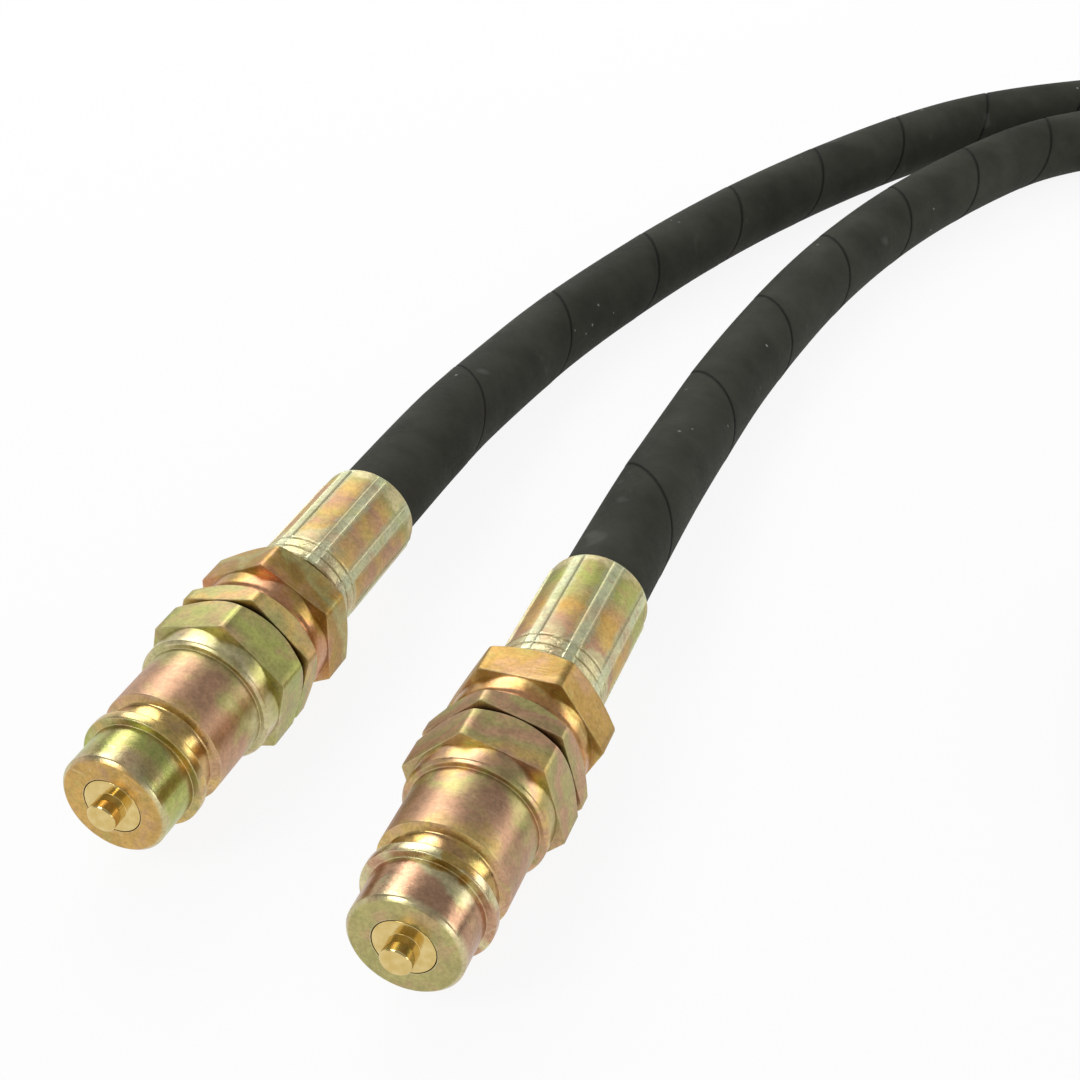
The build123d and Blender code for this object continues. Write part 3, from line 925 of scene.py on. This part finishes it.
def wrinkled_bands(nodes, normal, moved, station):
    """The normal, with fine folds over the bands at the ferrule's nut end."""
    folds = nodes.noise(moved, 900.0, detail=1.0, roughness=0.5, distortion=1.5)
    bands = by_station(nodes, station, [(69.5, 1.0), (71.5, 0.0)])
    return nodes.bump(nodes.math("MULTIPLY", folds, bands), 0.0003, 0.6, under=normal)


def plated(name, end, tints, finish, seed, jaws=None):
    """Zinc plate, with its film's tints and its roughness given by station in mm.

    Where jaws have pressed it, the ridges between them are paler and the bands are wrinkled.
    """
    nodes = Nodes(name)
    place = coupling_place(nodes, end)
    moved = nodes.vector("ADD", place, (seed, seed * 0.7, -seed))
    axial = nodes.add("SeparateXYZ", Vector=place).outputs["Y"]
    station = nodes.math("DIVIDE", axial, FILM_SPAN)
    drift = nodes.noise(moved, 85.0, detail=2.0, roughness=0.5)
    cloud = nodes.noise(moved, 330.0, detail=4.0, roughness=0.6)
    grain = nodes.noise(moved, 1400.0, detail=3.0, roughness=0.7)
    swing = nodes.math("MULTIPLY", nodes.math("SUBTRACT", drift, 0.5), 0.2)
    mottle = nodes.math("MULTIPLY", nodes.math("SUBTRACT", cloud, 0.5), 0.05)
    stray = nodes.math("ADD", swing, mottle)
    stray = nodes.math("MULTIPLY", stray, nodes.ramp(station, (0.0, 0.0), (0.06, 1.0)))
    film = nodes.math("ADD", station, stray)
    colour = by_station(nodes, film, tints)
    if jaws is not None:
        colour = paler_ridges(nodes, colour, place, cloud, jaws)
    veil = nodes.noise(moved, 170.0, detail=4.0, roughness=0.6, distortion=0.5)
    colour = nodes.mix(nodes.ramp(veil, (0.56, 0.0), (0.68, 0.32)), colour, GREEN)
    colour = nodes.mix(nodes.ramp(veil, (0.36, 0.5), (0.5, 0.0)), colour, PINK)
    colour = nodes.mix(0.5, colour, nodes.ramp(cloud, (0.35, 0.6), (0.6, 1.0)), "MULTIPLY")
    colour = nodes.mix(0.55, colour, nodes.ramp(grain, (0.35, 0.6), (0.6, 1.0)), "MULTIPLY")
    rubbed = nodes.math("MULTIPLY", scratches(nodes, moved, seed), 0.2)
    # Pale along edges and scratches: rubbed film, and along the edges partly a painted edge highlight
    worn_and_glint = nodes.math("MAXIMUM", nodes.math("MULTIPLY", edge_wear(nodes, cloud), 0.7), rubbed)
    colour = nodes.mix(worn_and_glint, colour, WORN_AND_EDGE_HIGHLIGHT)
    # Painted shade: ambient occlusion darkens the colour in corners, gaps and grooves
    corner = nodes.add("AmbientOcclusion", Distance=CORNER_REACH)
    corner_shade = nodes.ramp(corner.outputs["AO"], (0.15, PAINTED_CORNER_SHADE), (0.55, WHITE))
    colour = nodes.mix(0.75, colour, corner_shade, "MULTIPLY")
    nodes.feed(nodes.shader, "Base Color", colour)
    nodes.shader.inputs["Metallic"].default_value = 1.0
    rough = by_station(nodes, station, finish)
    rough = nodes.math("ADD", rough, nodes.ramp(cloud, (0.3, -0.04), (0.7, 0.08)))
    nodes.feed(nodes.shader, "Roughness", rough)
    lathe = nodes.noise(axial, 5200.0, detail=2.0, roughness=0.6, noise_dimensions="1D")
    normal = nodes.bump(lathe, 0.00002, 0.3)
    normal = nodes.bump(grain, 0.00003, 0.5, under=normal)
    normal = nodes.bump(cloud, 0.0001, 0.25, under=normal)
    if jaws is not None:
        normal = wrinkled_bands(nodes, normal, moved, station)
    nodes.feed(nodes.shader, "Normal", normal)
    return nodes.material


def brass(name, end):
    """Turned brass, with fine rings on its faces."""
    nodes = Nodes(name)
    place = coupling_place(nodes, end)
    parts = nodes.add("SeparateXYZ", Vector=place)
    across = nodes.math("POWER", parts.outputs["X"], 2.0)
    upward = nodes.math("POWER", parts.outputs["Z"], 2.0)
    radius = nodes.math("SQRT", nodes.math("ADD", across, upward))
    rings = nodes.noise(
        nodes.math("ADD", radius, parts.outputs["Y"]), 3800.0, detail=1.0, noise_dimensions="1D"
    )
    cloud = nodes.noise(place, 500.0, detail=3.0)
    colour = nodes.ramp(cloud, (0.35, DARK_BRASS), (0.65, PALE_BRASS))
    nodes.feed(nodes.shader, "Base Color", colour)
    nodes.shader.inputs["Metallic"].default_value = 1.0
    rough = nodes.ramp(rings, (0.3, 0.08), (0.7, 0.14))
    nodes.feed(nodes.shader, "Roughness", rough)
    nodes.feed(nodes.shader, "Normal", nodes.bump(rings, 0.00002, 0.3))
    return nodes.material


# The period of the cloth's mark in the cover, in metres
WEAVE_PITCH = 0.0007


def hose_rubber():
    """Matte wrapped cover, with painted shade along the tape's crease, faint cloth marks and a few pale
    specks.
    """
    nodes = Nodes("hose_rubber")
    place = nodes.add("Attribute", {"attribute_name": "hose_place"}).outputs["Vector"]
    parts = nodes.add("SeparateXYZ", Vector=place)
    away = nodes.math("DIVIDE", parts.outputs["Z"], MM)
    objects = nodes.add("TexCoord").outputs["Object"]
    patch = nodes.noise(objects, 60.0, detail=4.0, roughness=0.6)
    fine = nodes.noise(objects, 900.0, detail=4.0, roughness=0.7)
    colour = nodes.ramp(patch, (0.3, RUBBER), (0.7, DUSTY_RUBBER))
    colour = nodes.mix(0.4, colour, nodes.ramp(fine, (0.3, 0.7), (0.7, 1.0)), "MULTIPLY")
    # Painted shade: the cover darkens along the crease, where shade falls in it
    colour = nodes.mix(nodes.fade(away, 0.28, 0.95, 0.75), colour, PAINTED_CREASE_SHADE)
    cells = nodes.add("TexVoronoi", {"feature": "F1"}, Vector=objects, Scale=420.0)
    dot = nodes.ramp(cells.outputs["Distance"], (0.1, 1.0), (0.2, 0.0))
    chosen = nodes.add("SeparateColor", Color=cells.outputs["Color"]).outputs[0]
    chosen = nodes.math("GREATER_THAN", chosen, 0.9)
    scatter = nodes.ramp(nodes.noise(objects, 38.0, detail=1.0), (0.52, 0.0), (0.62, 1.0))
    specks = nodes.math("MULTIPLY", nodes.math("MULTIPLY", dot, chosen), scatter)
    colour = nodes.mix(nodes.math("MULTIPLY", specks, 0.55), colour, SPECK)
    smudge = nodes.ramp(nodes.noise(objects, 95.0, detail=2.0), (0.68, 0.0), (0.76, 1.0))
    colour = nodes.mix(nodes.math("MULTIPLY", smudge, 0.22), colour, SMUDGE)
    nodes.feed(nodes.shader, "Base Color", colour)
    nodes.feed(nodes.shader, "Roughness", nodes.ramp(fine, (0.3, 0.68), (0.7, 0.85)))
    nodes.shader.inputs["Specular IOR Level"].default_value = 0.15
    weave_scale = 2 * math.pi / WEAVE_PITCH
    warp = nodes.math("SINE", nodes.math("MULTIPLY", parts.outputs["X"], weave_scale))
    weft = nodes.math("SINE", nodes.math("MULTIPLY", parts.outputs["Y"], weave_scale))
    weave = nodes.math("MULTIPLY", warp, weft)
    normal = nodes.bump(weave, 0.00003, 0.35)
    normal = nodes.bump(fine, 0.0002, 0.4, under=normal)
    normal = nodes.bump(patch, 0.001, 0.2, under=normal)
    nodes.feed(nodes.shader, "Normal", normal)
    return nodes.material


def plain(name, colour, metallic, roughness):
    """A finish for the pieces inside, with a little grain."""
    nodes = Nodes(name)
    objects = nodes.add("TexCoord").outputs["Object"]
    grain = nodes.noise(objects, 900.0, detail=3.0)
    tone = nodes.mix(0.5, colour, nodes.ramp(grain, (0.3, 0.75), (0.7, 1.0)), "MULTIPLY")
    nodes.feed(nodes.shader, "Base Color", tone)
    nodes.feed(nodes.shader, "Roughness", nodes.ramp(grain, (0.3, roughness), (0.7, roughness + 0.12)))
    nodes.shader.inputs["Metallic"].default_value = metallic
    nodes.feed(nodes.shader, "Normal", nodes.bump(grain, 0.00005, 0.4))
    return nodes.material


steel = plain("spring_steel", linear(176, 178, 180), 1.0, 0.3)
rubber = plain("seal_rubber", linear(26, 26, 26), 0.0, 0.5)


def put(piece, material):
    """Give a piece this material alone."""
    piece.data.materials.clear()
    piece.data.materials.append(material)


put(hose, hose_rubber())
for end_name, end in ENDS.items():
    seed = end["seed"]
    film = {
        "plated_steel": plated(
            f"plated_steel_{end_name}", end, TIP_FILM[end_name], TIP_FINISH, seed
        ),
        "nut_steel": plated(
            f"nut_steel_{end_name}", end, NUT_FILM[end_name], NUT_FINISH, seed + 0.2
        ),
        "ferrule_steel": plated(
            f"ferrule_steel_{end_name}",
            end,
            FERRULE_FILM[end_name],
            FERRULE_FINISH,
            seed + 0.5,
            end["jaws"],
        ),
        "poppet_brass": brass(f"poppet_brass_{end_name}", end),
    }
    for piece, (_, slot) in made[end_name].items():
        put(piece, film[slot])
    put(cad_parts[f"hose_insert_{end_name}"], film["plated_steel"])
    put(springs[end_name], steel)
    for node in ("poppet_spring", "poppet_guide"):
        put(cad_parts[f"{node}_{end_name}"], steel)
    for node in ("body_o_ring", "poppet_seal", "cone_o_ring"):
        put(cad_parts[f"{node}_{end_name}"], rubber)

# ---------------------------------------------------------------- stage and light
FLOOR_SIZE = 6.0
FLOOR_WHITE = 0.9
# How much of what the camera and the metal see of the floor is plain white
SEEN_SHARE = 0.9
# What lights the object from all round, and the world as the camera and the metal see it, by
# the height of the direction
WORLD_GREY = 0.5
SKY = [(0.0, 1.0), (0.12, 1.0), (0.3, 0.42), (0.7, 0.38), (0.95, 0.5)]
# Each lamp's place and side in metres, and its power in watts
LAMPS = {
    "key": ((-0.58, 0.87, 0.74), 0.7, 6.5),
    "side": ((0.92, 0.84, 0.22), 0.5, 2.0),
    "front": ((-0.45, -0.66, 0.72), 0.4, 3.2),
    "low": ((0.9, -0.65, 0.2), 0.3, 1.0),
}
LAMPS_AIM = Vector((0.0, 0.12, 0.0))


def make_floor():
    """A white floor that the camera and the metal see nearly as bright as the world."""
    mesh = bpy.data.meshes.new("floor")
    half = FLOOR_SIZE / 2
    low = cad_box[0][2]
    corners = [(-half, -half, low), (half, -half, low), (half, half, low), (-half, half, low)]
    mesh.from_pydata(corners, [], [(0, 1, 2, 3)])
    floor = bpy.data.objects.new("floor", mesh)
    scene.collection.objects.link(floor)
    nodes = Nodes("floor")
    nodes.tree.nodes.remove(nodes.shader)
    diffuse = nodes.add("BsdfDiffuse", Color=(FLOOR_WHITE, FLOOR_WHITE, FLOOR_WHITE, 1))
    glow = nodes.add("Emission", Color=WHITE, Strength=1.0)
    path = nodes.add("LightPath")
    seen = nodes.math("MAXIMUM", path.outputs["Is Camera Ray"], path.outputs["Is Glossy Ray"])
    seen = nodes.math("MAXIMUM", seen, path.outputs["Is Transmission Ray"])
    share = nodes.math("MULTIPLY", seen, SEEN_SHARE)
    blend = nodes.add("MixShader")
    nodes.feed(blend, "0", share)
    nodes.feed(blend, "1", diffuse.outputs[0])
    nodes.feed(blend, "2", glow.outputs[0])
    nodes.tree.links.new(blend.outputs[0], nodes.tree.nodes["Material Output"].inputs[0])
    floor.data.materials.append(nodes.material)


def make_world():
    """A plain studio: dim overhead, and white near the horizon in view and in reflections."""
    world = bpy.data.worlds.new("world")
    scene.world = world
    world.use_nodes = True
    tree = world.node_tree
    background = tree.nodes["Background"]
    background.inputs["Color"].default_value = (WORLD_GREY, WORLD_GREY, WORLD_GREY, 1)
    place = tree.nodes.new("ShaderNodeTexCoord")
    parts = tree.nodes.new("ShaderNodeSeparateXYZ")
    tree.links.new(place.outputs["Generated"], parts.inputs[0])
    sky = tree.nodes.new("ShaderNodeValToRGB")
    tree.links.new(parts.outputs["Z"], sky.inputs["Fac"])
    while len(sky.color_ramp.elements) < len(SKY):
        sky.color_ramp.elements.new(0.5)
    for element, (height, value) in zip(sky.color_ramp.elements, SKY):
        element.position = height
        element.color = (value, value, value, 1)
    shown = tree.nodes.new("ShaderNodeBackground")
    tree.links.new(sky.outputs[0], shown.inputs["Color"])
    path = tree.nodes.new("ShaderNodeLightPath")
    seen = path.outputs["Is Camera Ray"]
    for other in ("Is Glossy Ray", "Is Transmission Ray"):
        either = tree.nodes.new("ShaderNodeMath")
        either.operation = "MAXIMUM"
        tree.links.new(seen, either.inputs[0])
        tree.links.new(path.outputs[other], either.inputs[1])
        seen = either.outputs[0]
    blend = tree.nodes.new("ShaderNodeMixShader")
    tree.links.new(seen, blend.inputs["Fac"])
    tree.links.new(background.outputs[0], blend.inputs[1])
    tree.links.new(shown.outputs[0], blend.inputs[2])
    tree.links.new(blend.outputs[0], tree.nodes["World Output"].inputs["Surface"])


def area_light(name, place, side, power):
    """A square lamp that points at the couplings and the hose beside them."""
    data = bpy.data.lights.new(name, "AREA")
    data.shape = "RECTANGLE"
    data.size = side
    data.size_y = side
    data.energy = power
    light = bpy.data.objects.new(name, data)
    light.location = place
    aim = LAMPS_AIM - Vector(place)
    light.rotation_euler = aim.to_track_quat("-Z", "Y").to_euler()
    scene.collection.objects.link(light)


make_floor()
make_world()
for lamp_name, (place, side, power) in LAMPS.items():
    area_light(lamp_name, place, side, power)
scene.view_settings.view_transform = "Standard"
